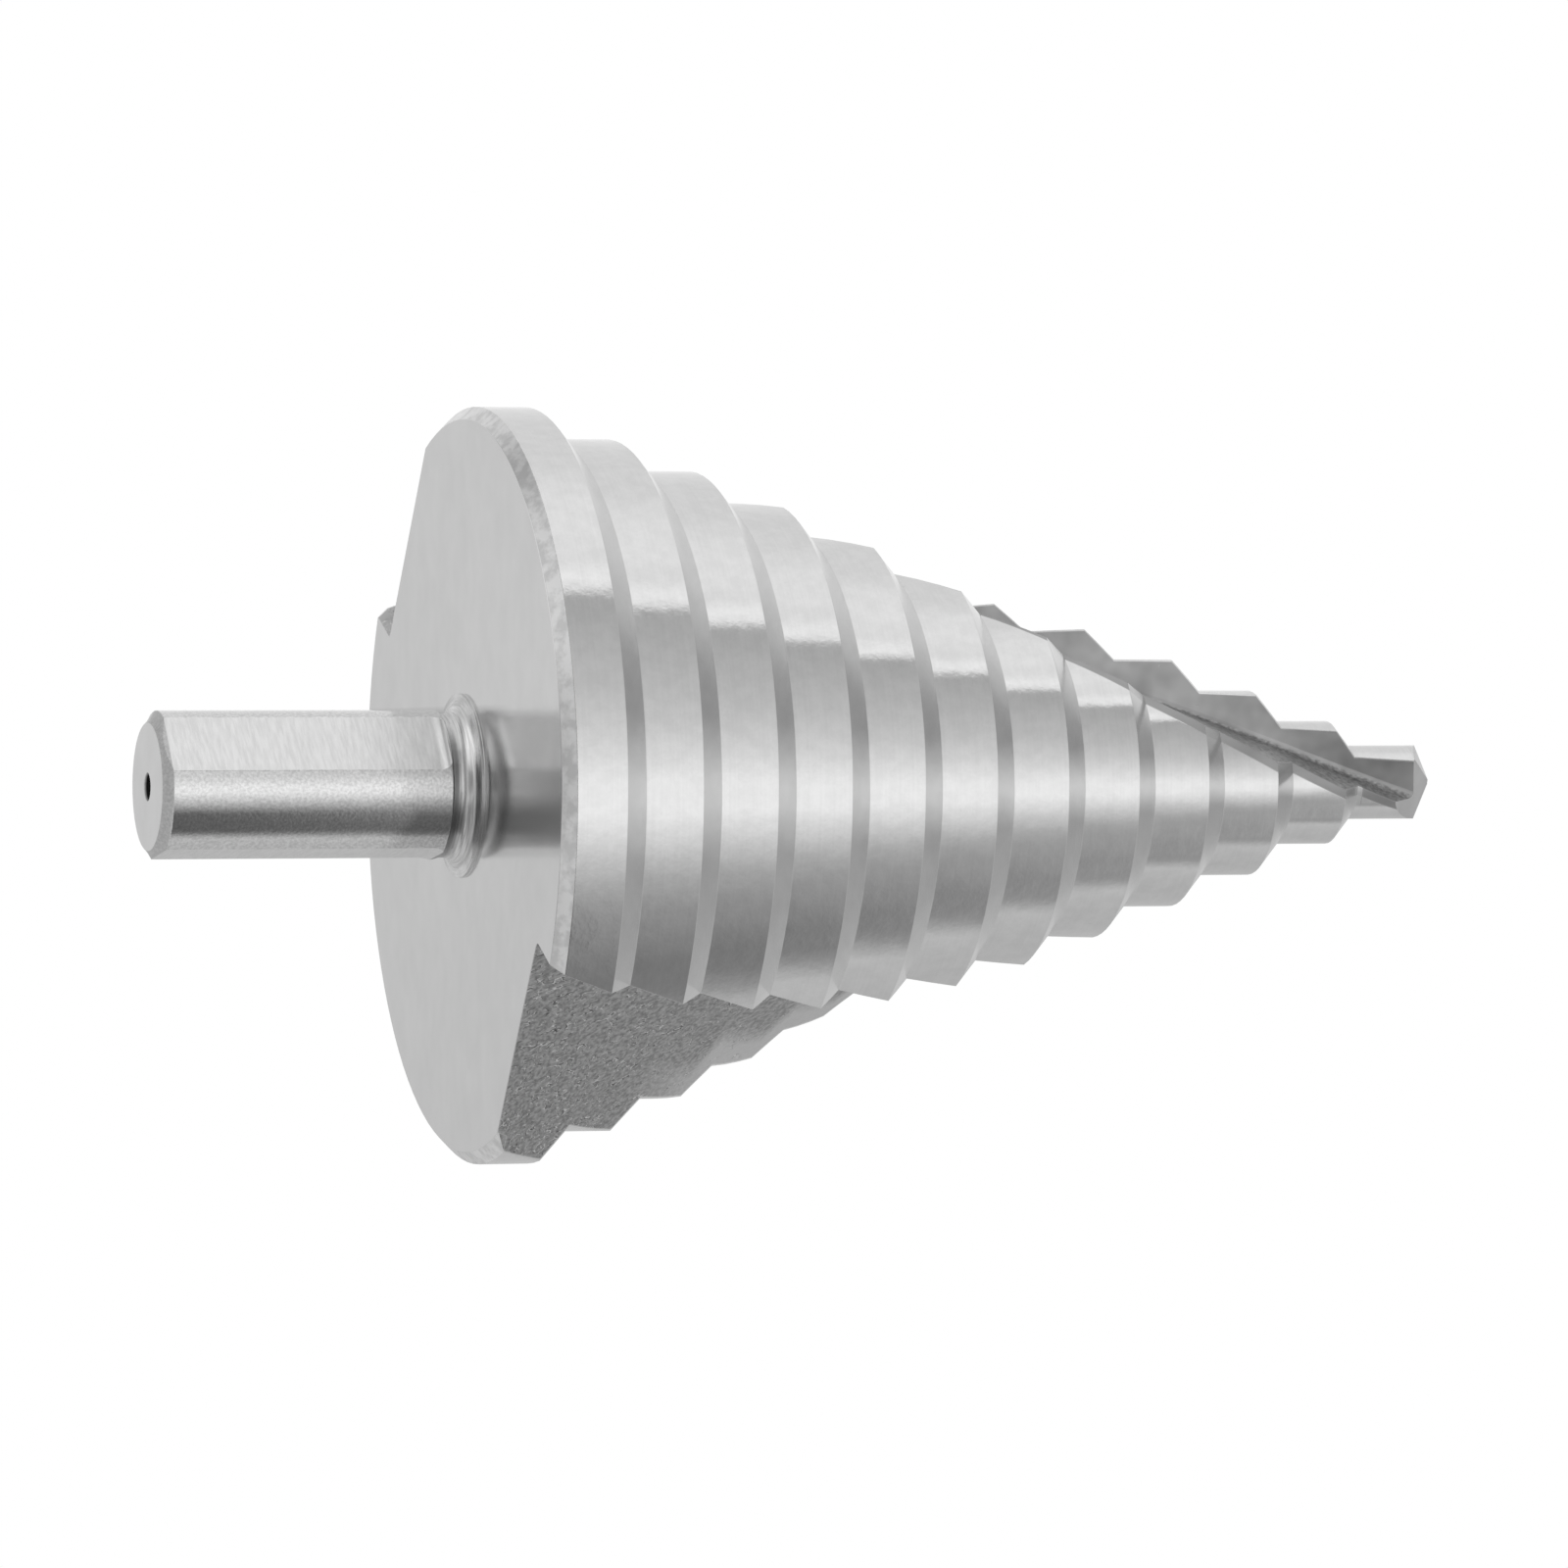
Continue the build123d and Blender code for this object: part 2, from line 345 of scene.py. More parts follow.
# %% Floor, seen directly and in the metal
rays = add(tree, "LightPath")
side = add(tree, "NewGeometry")
matt = add(tree, "BsdfDiffuse", {"Color": linear("#e9e9e9")})
# In the metal the floor glows with painted rings of light and shadow.
painted_ring_glow = add(tree, "Emission", {"Color": in_metal, "Strength": 1.0})
either = {0: rays.outputs["Is Glossy Ray"], 1: rays.outputs["Is Transmission Ray"]}
mirrored = add(tree, "Math", either, operation="MAXIMUM")
top_side = add(tree, "MixShader", {0: mirrored.outputs[0], 1: matt.outputs[0], 2: painted_ring_glow.outputs[0]})
clear = add(tree, "BsdfTransparent")
both = add(tree, "MixShader", {0: side.outputs["Backfacing"], 1: top_side.outputs[0], 2: clear.outputs[0]})
add(tree, "OutputMaterial", {"Surface": both.outputs[0]})
mesh.materials.append(table)
print("table material has", len(tree.nodes), "nodes")

# %% [markdown]
# The room is white where it is looked at, straight or in the metal. It lights
# the matt floor only about half as much, so that the floor stays below white
# and the shadow on it can be seen.

# %% White room
ROOM_LIGHT = 0.55

world = bpy.data.worlds.new("white_room")
bpy.context.scene.world = world
world.use_nodes = True
tree = world.node_tree
tree.nodes.clear()
rays = add(tree, "LightPath")
either = {0: rays.outputs["Is Camera Ray"], 1: rays.outputs["Is Glossy Ray"]}
looked_at = add(tree, "Math", either, operation="MAXIMUM")
either = {0: looked_at.outputs[0], 1: rays.outputs["Is Transmission Ray"]}
looked_at = add(tree, "Math", either, operation="MAXIMUM")
level = add(tree, "MapRange", {0: looked_at.outputs[0], 1: 0.0, 2: 1.0, 3: ROOM_LIGHT, 4: 1.0})
sky = add(tree, "Background", {"Color": (1, 1, 1, 1), "Strength": level.outputs[0]})
add(tree, "OutputWorld", {"Surface": sky.outputs[0]})
print("room has", len(tree.nodes), "nodes")

# %% [markdown]
# One softbox over the floor gives the drill its soft shadow. The metal doesn't
# show it, because the tent already says what light comes from where.

# %% Softbox
SOFTBOX_SIZE, SOFTBOX_WATTS = 0.35, 3.0
SOFTBOX_PLACE, SOFTBOX_AIM = (-0.25, -0.2, 0.55), Vector((0, 0, 30 * MM))

softbox = bpy.data.objects.new("softbox", bpy.data.lights.new("softbox", "AREA"))
bpy.context.scene.collection.objects.link(softbox)
softbox.data.shape = "SQUARE"
softbox.data.size = SOFTBOX_SIZE
softbox.data.energy = SOFTBOX_WATTS
softbox.location = SOFTBOX_PLACE
softbox.rotation_euler = (SOFTBOX_AIM - softbox.location).to_track_quat("-Z", "Y").to_euler()
softbox.visible_glossy = False
print("softbox", softbox.data.energy, "W at", [round(v, 2) for v in softbox.location])

# %% [markdown]
# ## Steel
#
# The drill is one piece of high-speed steel, hardened and then ground. There is one material, and what
# changes over it is the finish that each tool left: a grinding wheel on the lands, a form wheel in the
# step corners, a coarse wheel in the flutes, a lathe at the neck, a belt on the shank's flats. A few
# places also get painted light and shade in their colour: the centre hole, the neck's groove, a dark
# reflection in front of the neck, and the creases and the rim of the flutes. The material finds each
# region from its place on the drill, worked out in millimetres from the axis and from the shank's end. So
# no image has to be painted for the regions, and they meet exactly at the edges of the form.

# %% Millimetres on the drill
steel, tree = new_material("ground_high_speed_steel")
place = add(tree, "TexCoord")
mm = add(tree, "VectorMath", {0: place.outputs["Object"], "Scale": 1 / MM}, operation="SCALE")
split = add(tree, "SeparateXYZ", {0: mm.outputs[0]})
x_mm, y_mm, z_mm = split.outputs
flat_place = add(tree, "CombineXYZ", {0: x_mm, 1: y_mm})
radius = add(tree, "VectorMath", {0: flat_place.outputs[0]}, operation="LENGTH").outputs["Value"]
print("nodes so far", len(tree.nodes))

# %% [markdown]
# The outline of the turned cone is a staircase, so it can be written as a sum:
# the radius falls by 2.5 mm at each corner, over 2.2 mm of length, and corners
# come every 6.8 mm from 30.5 mm up. What lies deeper than that outline was cut
# by the flute's wheel, and what lies in a fall of the staircase is a corner.

# %% Outline of the cone
FIRST_CORNER, PITCH, FALL, FALL_LENGTH, STEP_COUNT = 30.5, 6.8, 2.5, 2.2, 12
LARGEST_R, SMALLEST_R, BACK_Z, NECK_Z = 30.0, 3.0, 25.5, 23.3

last_z = FIRST_CORNER + PITCH * STEP_COUNT
above = add(tree, "MapRange", {0: z_mm, 1: FIRST_CORNER, 2: last_z, 3: 0.0, 4: STEP_COUNT})
whole = add(tree, "Math", {0: above.outputs[0]}, operation="FLOOR")
part = add(tree, "Math", {0: above.outputs[0]}, operation="FRACT")
in_fall = add(tree, "MapRange", {0: part.outputs[0], 1: 0.0, 2: FALL_LENGTH / PITCH, 3: 0.0, 4: 1.0})
falls = add(tree, "Math", {0: whole.outputs[0], 1: in_fall.outputs[0]}, operation="ADD")
outline = add(tree, "Math", {0: falls.outputs[0], 1: -FALL, 2: LARGEST_R}, operation="MULTIPLY_ADD")
outline = add(tree, "Math", {0: outline.outputs[0], 1: SMALLEST_R}, operation="MAXIMUM")
depth = add(tree, "Math", {0: outline.outputs[0], 1: radius}, operation="SUBTRACT").outputs[0]
on_cone = add(tree, "MapRange", {0: z_mm, 1: BACK_Z + 0.02, 2: BACK_Z + 0.08, 3: 0.0, 4: 1.0})
cut_deep = add(tree, "MapRange", {0: depth, 1: 0.1, 2: 0.2, 3: 0.0, 4: 1.0})
print("nodes so far", len(tree.nodes))

# %% [markdown]
# A step corner starts and ends with a fall of the staircase. The back bevel is
# a millimetre wide, at the rim of the back face. Each region fades in or out
# between two numbers, which mostly lie a tenth of a millimetre apart or less.

# %% Step corners and back bevel
BEVEL_R, BEVEL_WIDTH = 29.0, 1.0

corner_end = add(tree, "MapRange", {0: in_fall.outputs[0], 1: 0.985, 2: 1.0, 3: 1.0, 4: 0.0})
corner_start = add(tree, "MapRange", {0: above.outputs[0], 1: 0.0, 2: 0.004, 3: 0.0, 4: 1.0})
both_ends = {0: corner_start.outputs[0], 1: corner_end.outputs[0]}
corner = add(tree, "Math", both_ends, operation="MULTIPLY").outputs[0]
bevel_z = BACK_Z + BEVEL_WIDTH
bevel_low = add(tree, "MapRange", {0: z_mm, 1: bevel_z - 0.05, 2: bevel_z + 0.05, 3: 1.0, 4: 0.0})
bevel_out = add(tree, "MapRange", {0: radius, 1: BEVEL_R - 0.05, 2: BEVEL_R + 0.05, 3: 0.0, 4: 1.0})
both_ways = {0: bevel_low.outputs[0], 1: bevel_out.outputs[0]}
bevel = add(tree, "Math", both_ways, operation="MULTIPLY").outputs[0]
print("bevel from", BACK_Z, "to", bevel_z, "mm up")

# %% [markdown]
# The flute is what was cut deeper than the outline. On the bevel the outline is
# a slope, where height and radius grow alike, so their difference tells there
# how deep a place lies. The back face, the neck and the shank are told apart by
# their height and their radius.

# %% Flutes, back face, neck and shank
BEVEL_LINE, NECK_LIP_R = BACK_Z - BEVEL_R, 7.3

slope = add(tree, "Math", {0: z_mm, 1: radius}, operation="SUBTRACT").outputs[0]
bevel_cut = add(tree, "MapRange", {0: slope, 1: BEVEL_LINE + 0.12, 2: BEVEL_LINE + 0.2, 3: 0.0, 4: 1.0})
not_bevel = add(tree, "Math", {0: 1.0, 1: bevel}, operation="SUBTRACT")
outside_bevel = {0: cut_deep.outputs[0], 1: not_bevel.outputs[0]}
outside_bevel = add(tree, "Math", outside_bevel, operation="MULTIPLY")
inside_bevel = add(tree, "Math", {0: bevel_cut.outputs[0], 1: bevel}, operation="MULTIPLY")
cut = add(tree, "Math", {0: outside_bevel.outputs[0], 1: inside_bevel.outputs[0]}, operation="MAXIMUM")
flute = add(tree, "Math", {0: cut.outputs[0], 1: on_cone.outputs[0]}, operation="MULTIPLY").outputs[0]

back = add(tree, "MapRange", {0: z_mm, 1: BACK_Z + 0.02, 2: BACK_Z + 0.06, 3: 1.0, 4: 0.0}).outputs[0]
neck = add(tree, "MapRange", {0: radius, 1: NECK_LIP_R, 2: NECK_LIP_R + 0.06, 3: 1.0, 4: 0.0})
neck = add(tree, "Math", {0: neck.outputs[0], 1: back}, operation="MULTIPLY").outputs[0]
shank = add(tree, "MapRange", {0: z_mm, 1: NECK_Z - 0.08, 2: NECK_Z - 0.04, 3: 1.0, 4: 0.0}).outputs[0]
print("nodes so far", len(tree.nodes))

# %% [markdown]
# The three flats lie 5.37 mm from the axis, a third of a turn apart. How far a
# point is out along each flat's own direction is a dot product, and where the
# largest of the three reaches that distance the point is on a flat.

# %% Flats of the shank
FLAT_DISTANCE, FLAT_TOP, SHANK_R = 5.37, 24.0, 6.0
FLAT_DIRECTIONS = (-128.5, -8.5, 111.5)

reach = None
for degrees in FLAT_DIRECTIONS:
    out = (math.cos(math.radians(degrees)), math.sin(math.radians(degrees)), 0)
    along = add(tree, "VectorMath", {0: mm.outputs[0], 1: out}, operation="DOT_PRODUCT").outputs["Value"]
    if reach is not None:
        along = add(tree, "Math", {0: reach, 1: along}, operation="MAXIMUM").outputs[0]
    reach = along
flat = add(tree, "MapRange", {0: reach, 1: FLAT_DISTANCE - 0.05, 2: FLAT_DISTANCE - 0.02, 3: 0.0, 4: 1.0})
within_round = add(tree, "MapRange", {0: radius, 1: SHANK_R - 0.04, 2: SHANK_R - 0.015, 3: 1.0, 4: 0.0})
flat = add(tree, "Math", {0: flat.outputs[0], 1: within_round.outputs[0]}, operation="MULTIPLY")
below_top = add(tree, "MapRange", {0: z_mm, 1: FLAT_TOP, 2: FLAT_TOP + 0.1, 3: 1.0, 4: 0.0})
flat = add(tree, "Math", {0: flat.outputs[0], 1: below_top.outputs[0]}, operation="MULTIPLY").outputs[0]
print("nodes so far", len(tree.nodes))

# %% [markdown]
# The shank's end is plain, with a chamfer round it. The hole in its middle is left from turning between
# centres. No light gets into it, so its colour is painted near black, as painted shade.

# %% End of the shank and its hole
CHAMFER_TOP, HOLE_R, ABOVE_HOLE = 0.75, 1.15, 3.0

end = add(tree, "MapRange", {0: z_mm, 1: 0.02, 2: 0.05, 3: 1.0, 4: 0.0}).outputs[0]
end_bevel = {0: z_mm, 1: CHAMFER_TOP - 0.05, 2: CHAMFER_TOP + 0.01, 3: 1.0, 4: 0.0}
end_bevel = add(tree, "MapRange", end_bevel).outputs[0]
near_hole = add(tree, "MapRange", {0: radius, 1: HOLE_R - 0.01, 2: HOLE_R + 0.03, 3: 1.0, 4: 0.0})
up_hole = add(tree, "MapRange", {0: z_mm, 1: 0.03, 2: 0.2, 3: 0.0, 4: 1.0})
low_part = add(tree, "MapRange", {0: z_mm, 1: ABOVE_HOLE, 2: ABOVE_HOLE + 1, 3: 1.0, 4: 0.0})
painted_hole_shade = add(tree, "Math", {0: near_hole.outputs[0], 1: up_hole.outputs[0]}, operation="MULTIPLY")
painted_hole_shade = add(tree, "Math", {0: painted_hole_shade.outputs[0], 1: low_part.outputs[0]}, operation="MULTIPLY").outputs[0]
print("nodes so far", len(tree.nodes))

# %% [markdown]
# The flutes turn round the axis, so their walls need coordinates that turn too.
# The cutting face stands at a direction that is known for each height. When the
# place is turned back by it, one coordinate runs out along the cutting face and
# the other runs into the groove. Two sums then give the distance to the long
# wall and to the cutting face. The second flute lies half a turn on, so the
# signs of both coordinates are dropped together.

# %% Distance to the two walls of a flute
POINT_Z, HALF_WEB, ROOT_AT_BACK, ROOT_SLOPE = 106.2, 1.3, 24.93, 0.31857
FACE_AT_POINT, FACE_TURN, TURN_EASE, WALL_LEAN = 149.6, 94.6, 0.355, 11.6
ROOT_SPAN = 100

share = add(tree, "MapRange", {0: z_mm, 1: POINT_Z, 2: BACK_Z, 3: 0.0, 4: 1.0}).outputs[0]
eased = add(tree, "Math", {0: share, 1: -TURN_EASE, 2: 1 + TURN_EASE}, operation="MULTIPLY_ADD")
eased = add(tree, "Math", {0: eased.outputs[0], 1: share}, operation="MULTIPLY")
angles = {0: eased.outputs[0], 1: math.radians(FACE_TURN), 2: math.radians(FACE_AT_POINT)}
back_turn = add(tree, "Math", angles, operation="MULTIPLY_ADD")
to_turn = {"Vector": flat_place.outputs[0], "Angle": back_turn.outputs[0]}
turned = add(tree, "VectorRotate", to_turn, rotation_type="Z_AXIS")
turned = add(tree, "SeparateXYZ", {0: turned.outputs[0]})
flute_side = add(tree, "Math", {0: turned.outputs[1]}, operation="SIGN")
outward = add(tree, "Math", {0: turned.outputs[0], 1: flute_side.outputs[0]}, operation="MULTIPLY")
inward = add(tree, "Math", {0: turned.outputs[1]}, operation="ABSOLUTE")
from_face = add(tree, "Math", {0: inward.outputs[0], 1: HALF_WEB}, operation="SUBTRACT").outputs[0]
root_end = ROOT_AT_BACK - ROOT_SPAN * ROOT_SLOPE
root = add(tree, "MapRange", {0: z_mm, 1: BACK_Z, 2: BACK_Z + ROOT_SPAN, 3: ROOT_AT_BACK, 4: root_end})
from_root = add(tree, "Math", {0: outward.outputs[0], 1: root.outputs[0]}, operation="SUBTRACT")
lean = math.radians(WALL_LEAN)
leaning = add(tree, "Math", {0: from_face, 1: math.sin(lean)}, operation="MULTIPLY")
both_parts = {0: from_root.outputs[0], 1: math.cos(lean), 2: leaning.outputs[0]}
from_wall = add(tree, "Math", both_parts, operation="MULTIPLY_ADD").outputs[0]
print("nodes so far", len(tree.nodes))

# %% [markdown]
# Three small regions follow from these distances. The cutting face itself is ground a little finer than
# the wall. Behind the wall's edge, on the small steps, a strip of the land gets the darker, duller finish
# of a heel that is cleared away so that it can't rub in the hole; the form itself is not cut there. The
# point's facets are the only surfaces up there that look towards the tip.

# %% Cutting face, heel and point
HEEL_START_Z, HEEL_FULL_Z, HEEL_WIDTH = 62.0, 80.0, 0.75
FACETS_Z, FACETS_LOOK_UP = 102.6, 0.45

near_face = add(tree, "MapRange", {0: from_face, 1: 0.04, 2: 0.12, 3: 1.0, 4: 0.0})
face = add(tree, "Math", {0: near_face.outputs[0], 1: flute}, operation="MULTIPLY").outputs[0]

heel_width = add(tree, "MapRange", {0: z_mm, 1: HEEL_START_Z, 2: HEEL_FULL_Z, 3: 0.0, 4: HEEL_WIDTH})
heel = add(tree, "Math", {0: from_wall, 1: heel_width.outputs[0]}, operation="ADD")
heel = add(tree, "MapRange", {0: heel.outputs[0], 1: 0.0, 2: 0.1, 3: 0.0, 4: 1.0})
past_face = add(tree, "MapRange", {0: from_face, 1: 0.0, 2: 0.1, 3: 0.0, 4: 1.0})
heel = add(tree, "Math", {0: heel.outputs[0], 1: past_face.outputs[0]}, operation="MULTIPLY")
on_steps = add(tree, "MapRange", {0: z_mm, 1: HEEL_START_Z, 2: HEEL_START_Z + 2, 3: 0.0, 4: 1.0})
heel = add(tree, "Math", {0: heel.outputs[0], 1: on_steps.outputs[0]}, operation="MULTIPLY")
on_lands = add(tree, "MapRange", {0: corner, 1: 0.0, 2: 1.0, 3: 1.0, 4: 0.2})
heel = add(tree, "Math", {0: heel.outputs[0], 1: on_lands.outputs[0]}, operation="MULTIPLY").outputs[0]

looks = add(tree, "NewGeometry")
looks = add(tree, "SeparateXYZ", {0: looks.outputs["True Normal"]})
facing = {0: looks.outputs["Z"], 1: FACETS_LOOK_UP, 2: FACETS_LOOK_UP + 0.05, 3: 0.0, 4: 1.0}
point = add(tree, "MapRange", facing)
at_point = add(tree, "MapRange", {0: z_mm, 1: FACETS_Z, 2: FACETS_Z + 0.2, 3: 0.0, 4: 1.0})
point = add(tree, "Math", {0: point.outputs[0], 1: at_point.outputs[0]}, operation="MULTIPLY").outputs[0]
print("nodes so far", len(tree.nodes))

# %% [markdown]
# ## Marks of the tools
#
# Each finish has its own marks. Noise stretched round the axis gives the fine
# rings of a wheel or a lathe tool. Noise stretched across the shank gives the
# scratches of the belt on the flats. Real marks are a few hundredths of a
# millimetre wide. They are drawn an eighth to a third of a millimetre wide here,
# because a picture of the whole drill shows nothing finer. The table gives how
# many patches of noise there are per millimetre, across the axis and along it,
# and how much fine detail they have.

# %% Patterns
belt_place = add(tree, "Mapping", {"Vector": mm.outputs[0], "Rotation": (0.03, 0.02, 0)})
patterns = {}
for name, per_mm, along, detail, from_place in (
    ("rings", 0.07, 4.5, 2.0, mm),
    ("clouds", 0.25, 0.25, 2.0, mm),
    ("mottle", 0.8, 0.8, 3.0, mm),
    ("grain", 4.2, 4.2, 1.0, mm),
    ("belt", 0.5, 3.6, 2.0, belt_place),
    ("lathe", 0.25, 8.0, 3.0, mm),
    ("grit", 3.2, 2.4, 2.0, mm),
    ("crease", 2.7, 0.9, 0.5, mm),
    ("patches", 0.9, 0.6, 1.0, mm),
):
    rates = {0: from_place.outputs[0], 1: (per_mm, per_mm, along)}
    spread = add(tree, "VectorMath", rates, operation="MULTIPLY")
    cells = {"Vector": spread.outputs[0], "Scale": 1.0, "Detail": detail, "Roughness": 0.6}
    patterns[name] = add(tree, "TexNoise", cells).outputs[0]
print("patterns", list(patterns))

# %% [markdown]
# In the flutes the coarse wheel tore the steel a little. The wall is dark and dull, with short curled
# creases that run roughly along the axis. The creases have no relief of their own: each is drawn with a
# painted highlight on one lip and painted shade on the other. The line where a stretched noise crosses its
# middle value has such a shape. A second noise keeps only short pieces of that line, and fewer of them
# towards the point, where the groove is small and smooth.

# %% Creases of the flutes, with painted highlight and shade
MANY_Z, FEW_Z, MANY_FROM, FEW_FROM = 33.0, 64.0, 0.44, 0.75
NOISE_MIDDLE, LIP_WIDTH = 0.5, 0.06

few_above = add(tree, "MapRange", {0: z_mm, 1: MANY_Z, 2: FEW_Z, 3: MANY_FROM, 4: FEW_FROM})
kept = add(tree, "Math", {0: patterns["patches"], 1: few_above.outputs[0]}, operation="SUBTRACT")
kept = add(tree, "MapRange", {0: kept.outputs[0], 1: 0.0, 2: 0.05, 3: 0.0, 4: 1.0})
kept = add(tree, "Math", {0: kept.outputs[0], 1: flute}, operation="MULTIPLY").outputs[0]
crease_highlight_and_shade = []
# The first lip gets the painted highlight, the second the painted shade.
for width, order in ((LIP_WIDTH, "GREATER_THAN"), (-LIP_WIDTH, "LESS_THAN")):
    side = add(tree, "Math", {0: patterns["crease"], 1: NOISE_MIDDLE}, operation=order)
    near = {0: patterns["crease"], 1: NOISE_MIDDLE + width, 2: NOISE_MIDDLE, 3: 0.0, 4: 1.0}
    near = add(tree, "MapRange", near)
    painted_lip = add(tree, "Math", {0: near.outputs[0], 1: side.outputs[0]}, operation="MULTIPLY")
    crease_highlight_and_shade.append(add(tree, "Math", {0: painted_lip.outputs[0], 1: kept}, operation="MULTIPLY").outputs[0])
print("nodes so far", len(tree.nodes))

# %% [markdown]
# On the third to the sixth step the outer two millimetres of the wall are painted lighter, a painted sheen
# along the wall's edge. The painted sheen fades in and out with height, and inward with its depth.

# %% Painted sheen on the rim of the flute's wall
RIM_DEPTH, RIM_FADED = 1.6, 3.0
RIM_IN, RIM_OUT = (38.0, 46.0), (60.0, 66.0)

painted_rim_sheen = add(tree, "MapRange", {0: depth, 1: RIM_FADED, 2: RIM_DEPTH, 3: 0.0, 4: 1.0})
rim_up = add(tree, "MapRange", {0: z_mm, 1: RIM_IN[0], 2: RIM_IN[1], 3: 0.0, 4: 1.0})
rim_end = add(tree, "MapRange", {0: z_mm, 1: RIM_OUT[0], 2: RIM_OUT[1], 3: 1.0, 4: 0.0})
painted_rim_sheen = add(tree, "Math", {0: painted_rim_sheen.outputs[0], 1: rim_up.outputs[0]}, operation="MULTIPLY")
painted_rim_sheen = add(tree, "Math", {0: painted_rim_sheen.outputs[0], 1: rim_end.outputs[0]}, operation="MULTIPLY")
painted_rim_sheen = add(tree, "Math", {0: painted_rim_sheen.outputs[0], 1: flute}, operation="MULTIPLY").outputs[0]
print("nodes so far", len(tree.nodes))

# %% [markdown]
# The neck's groove next to the shank is painted darker, as painted shade, since little light gets into it.
# Only the side that is up in the picture gets some light, so the painted shade fades out there.

# %% Painted shade in the groove of the neck
GROOVE_Z, LOW_SIDE_X = (23.7, 24.3), (-4.8, -3.2)

painted_groove_shade = add(tree, "MapRange", {0: z_mm, 1: GROOVE_Z[0], 2: GROOVE_Z[1], 3: 1.0, 4: 0.0})
painted_groove_shade = add(tree, "Math", {0: painted_groove_shade.outputs[0], 1: neck}, operation="MULTIPLY")
painted_groove_shade = add(tree, "Math", {0: painted_groove_shade.outputs[0], 1: shank}, operation="SUBTRACT", use_clamp=True)
low_side = add(tree, "MapRange", {0: x_mm, 1: LOW_SIDE_X[0], 2: LOW_SIDE_X[1], 3: 0.0, 4: 1.0}).outputs[0]
painted_groove_shade = add(tree, "Math", {0: painted_groove_shade.outputs[0], 1: low_side}, operation="MULTIPLY").outputs[0]
print("nodes so far", len(tree.nodes))

# %% [markdown]
# In front of the neck the flat back of the cone mirrors the neck once more. Little light gets into that
# narrow corner, and on the real drill the image is a plain dark patch. Here that reflection is painted
# into the colour: a soft grey patch of the same extent, a painted dark reflection.

# %% Painted dark reflection in front of the neck
DARK_REFLECTION_FRONT, DARK_REFLECTION_TOP, DARK_REFLECTION_LOW = (-15.0, -7.6), (-6.4, -5.6), (1.0, 3.5)

near_neck = add(tree, "MapRange", {0: y_mm, 1: DARK_REFLECTION_FRONT[0], 2: DARK_REFLECTION_FRONT[1], 3: 0.0, 4: 1.0})
from_top = add(tree, "MapRange", {0: x_mm, 1: DARK_REFLECTION_TOP[0], 2: DARK_REFLECTION_TOP[1], 3: 0.0, 4: 1.0})
from_low = add(tree, "MapRange", {0: x_mm, 1: DARK_REFLECTION_LOW[0], 2: DARK_REFLECTION_LOW[1], 3: 1.0, 4: 0.0})
painted_dark_reflection = add(tree, "Math", {0: near_neck.outputs[0], 1: from_top.outputs[0]}, operation="MULTIPLY")
painted_dark_reflection = add(tree, "Math", {0: painted_dark_reflection.outputs[0], 1: from_low.outputs[0]}, operation="MULTIPLY")
painted_dark_reflection = add(tree, "Math", {0: painted_dark_reflection.outputs[0], 1: back}, operation="MULTIPLY")
painted_dark_reflection = add(tree, "Math", {0: painted_dark_reflection.outputs[0], 1: neck}, operation="SUBTRACT", use_clamp=True).outputs[0]
print("nodes so far", len(tree.nodes))

# %% [markdown]
# ## Finish of each region
#
# The finish of the lands lies under all the others. Their wheel left soft
# blotches with faint rings in them, and low waves. The waves bend the edges of
# the panels that the lands mirror.

# %% Finish of the lands
SHARE_OF_RINGS, LAND_WAVES, LAND_RINGS = 0.3, 3.3, 0.045
LAND_ROUGH = (0.08, 0.12)

rings, mottle = patterns["rings"], patterns["mottle"]
blotches = add(tree, "Mix", {0: SHARE_OF_RINGS, 2: mottle, 3: rings}, data_type="FLOAT").outputs[0]
share = add(tree, "MapRange", {0: blotches, 1: 0.38, 2: 0.62, 3: 0.0, 4: 1.0})
greys = {0: share.outputs[0], 6: linear("#e5e5e5"), 7: linear("#ececec")}
colour = add(tree, "Mix", greys, data_type="RGBA").outputs[2]
rough = {0: patterns["grain"], 1: 0.3, 2: 0.7, 3: LAND_ROUGH[0], 4: LAND_ROUGH[1]}
rough = add(tree, "MapRange", rough).outputs[0]
ring_relief = add(tree, "Math", {0: rings, 1: LAND_RINGS}, operation="MULTIPLY")
waves = {0: mottle, 1: LAND_WAVES, 2: ring_relief.outputs[0]}
relief = add(tree, "Math", waves, operation="MULTIPLY_ADD").outputs[0]
print("nodes so far", len(tree.nodes))

# %% [markdown]
# Every other region has a pattern that runs between two colours, and a
# roughness. The same pattern is its relief. Each row gives the mask of a
# region, its pattern, the two values of the pattern between which the colour
# changes, the two colours and the roughness. The regions are laid over each
# other in the order of the table, down to the small ends.

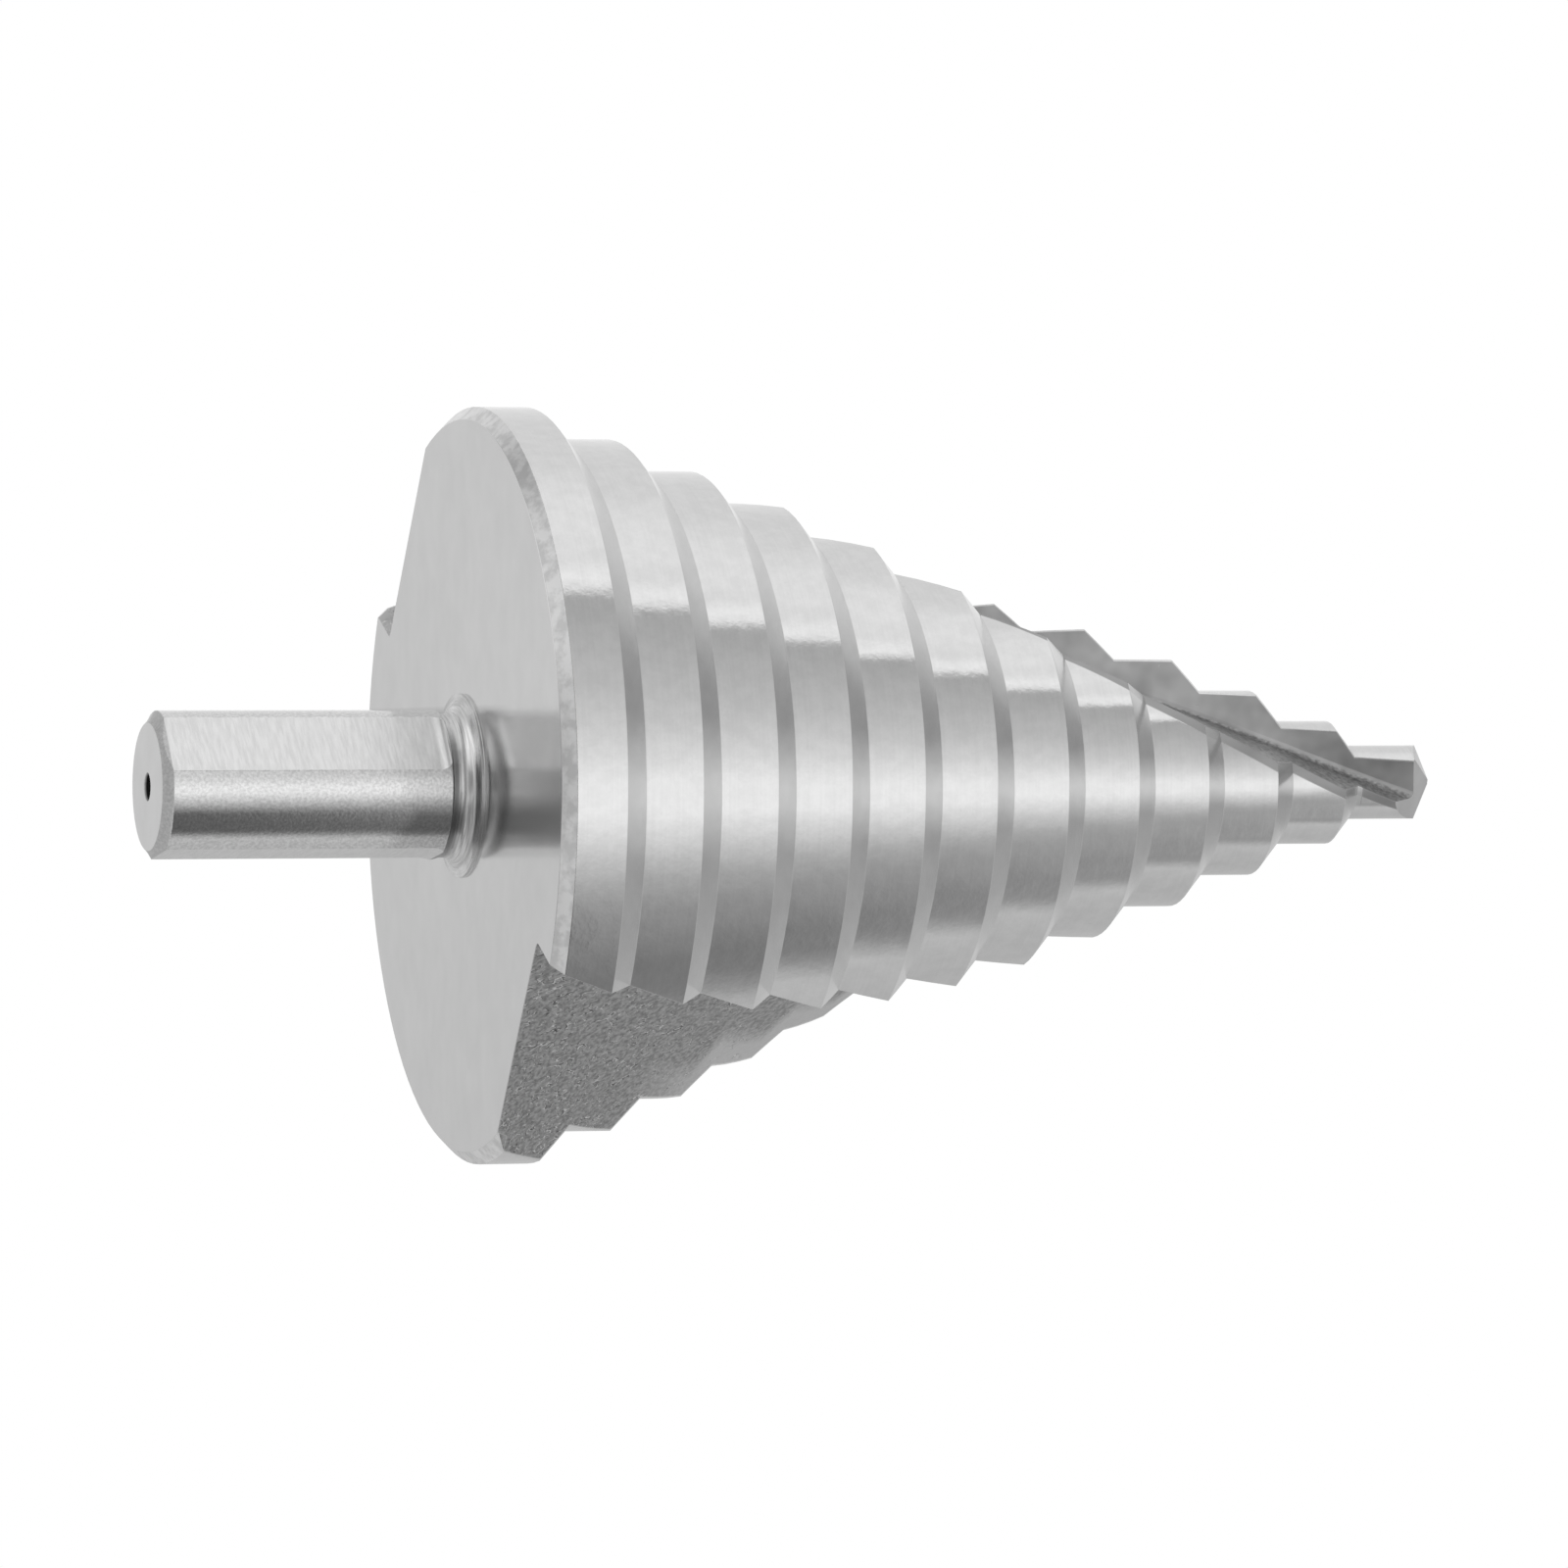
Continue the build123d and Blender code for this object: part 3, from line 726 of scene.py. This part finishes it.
# %% Colour, roughness and relief of the other regions
for mask, marks, low, high, dark, bright, level in (
    (corner, "clouds", 0.3, 0.7, "#e2e2e2", "#eaeaea", 0.16),
    (bevel, "mottle", 0.40, 0.58, "#e2e2e2", "#fafafa", 0.28),
    (heel, "clouds", 0.3, 0.7, "#a6a6a6", "#b4b4b4", 0.42),
    (flute, "grit", 0.36, 0.64, "#8e8e8e", "#bcbcbc", 0.42),
    (face, "clouds", 0.35, 0.65, "#a4a4a4", "#c4c4c4", 0.42),
    (point, "clouds", 0.3, 0.7, "#d8d8d8", "#e8e8e8", 0.30),
    (back, "clouds", 0.3, 0.7, "#e4e4e4", "#eaeaea", 0.15),
    (neck, "lathe", 0.36, 0.62, "#c8c8c8", "#f0f0f0", 0.24),
    (shank, "grain", 0.3, 0.7, "#d6d6d6", "#f2f2f2", 0.11),
    (flat, "belt", 0.35, 0.65, "#e2e2e2", "#f0f0f0", 0.24),
    (end_bevel, "grain", 0.3, 0.7, "#b8b8b8", "#cccccc", 0.25),
    (end, "clouds", 0.3, 0.7, "#ececec", "#f4f4f4", 0.34),
    # The hole's near black colour is painted shade.
    (painted_hole_shade, "grain", 0.3, 0.7, "#101010", "#242424", 0.5),
):
    share = add(tree, "MapRange", {0: patterns[marks], 1: low, 2: high, 3: 0.0, 4: 1.0})
    shade = add(tree, "Mix", {0: share.outputs[0], 6: linear(dark), 7: linear(bright)}, data_type="RGBA")
    colour = add(tree, "Mix", {0: mask, 6: colour, 7: shade.outputs[2]}, data_type="RGBA").outputs[2]
    rough = add(tree, "Mix", {0: mask, 2: rough, 3: level}, data_type="FLOAT").outputs[0]
    relief = add(tree, "Mix", {0: mask, 2: relief, 3: patterns[marks]}, data_type="FLOAT").outputs[0]
print("nodes so far", len(tree.nodes))

# %% [markdown]
# The small details only change the colour, and all of them are painted light or shade. Each row gives a
# mask, how much of the colour below is covered at most, and the colour that covers it: a painted sheen on
# the rim of the flutes, a painted highlight and painted shade on the lips of the creases, painted shade in
# the neck's groove and a painted dark reflection in front of the neck.

# %% Painted light and shade of the small details
for mask, most, shade in (
    (painted_rim_sheen, 0.8, "#dcdcdc"),
    (crease_highlight_and_shade[0], 0.95, "#f0f0f0"),
    (crease_highlight_and_shade[1], 0.9, "#3a3a3a"),
    (painted_groove_shade, 0.65, "#5a5a5a"),
    (painted_dark_reflection, 0.55, "#606060"),
):
    share = add(tree, "Math", {0: mask, 1: most}, operation="MULTIPLY").outputs[0]
    colour = add(tree, "Mix", {0: share, 6: colour, 7: linear(shade)}, data_type="RGBA").outputs[2]
print("nodes so far", len(tree.nodes))

# %% [markdown]
# One unit of relief stands for a fiftieth of a millimetre, and it is shown at a
# fifth of its strength. The light also runs smoothly over each sharp edge, as
# if it had been broken by a tenth of a millimetre, and this gives the thin
# bright lines along the edges.

# %% Relief
EDGE_BREAK, RELIEF_UNIT, RELIEF_STRENGTH = 0.09 * MM, 0.02 * MM, 0.2

broken_edge = add(tree, "Bevel", {"Radius": EDGE_BREAK}, samples=4)
shown = {"Height": relief, "Strength": RELIEF_STRENGTH, "Distance": RELIEF_UNIT}
bump = add(tree, "Bump", shown | {"Normal": broken_edge.outputs[0]})
print("a unit of relief is", round(RELIEF_UNIT / MM, 3), "mm")

# %% [markdown]
# All comes together in one metallic shader, and the drill's only slot gets it.

# %% The metal itself
surface = {"Base Color": colour, "Roughness": rough, "Metallic": 1.0, "Normal": bump.outputs[0]}
metal = add(tree, "BsdfPrincipled", surface)
add(tree, "OutputMaterial", {"Surface": metal.outputs[0]})
for slot in drill.material_slots:
    slot.material = steel
print("steel has", len(tree.nodes), "nodes")

# %% [markdown]
# ## Finish
#
# The picture keeps the plain view transform, so that a grey comes out as it was mixed.

# %% Finish
bpy.context.scene.view_settings.view_transform = "Standard"
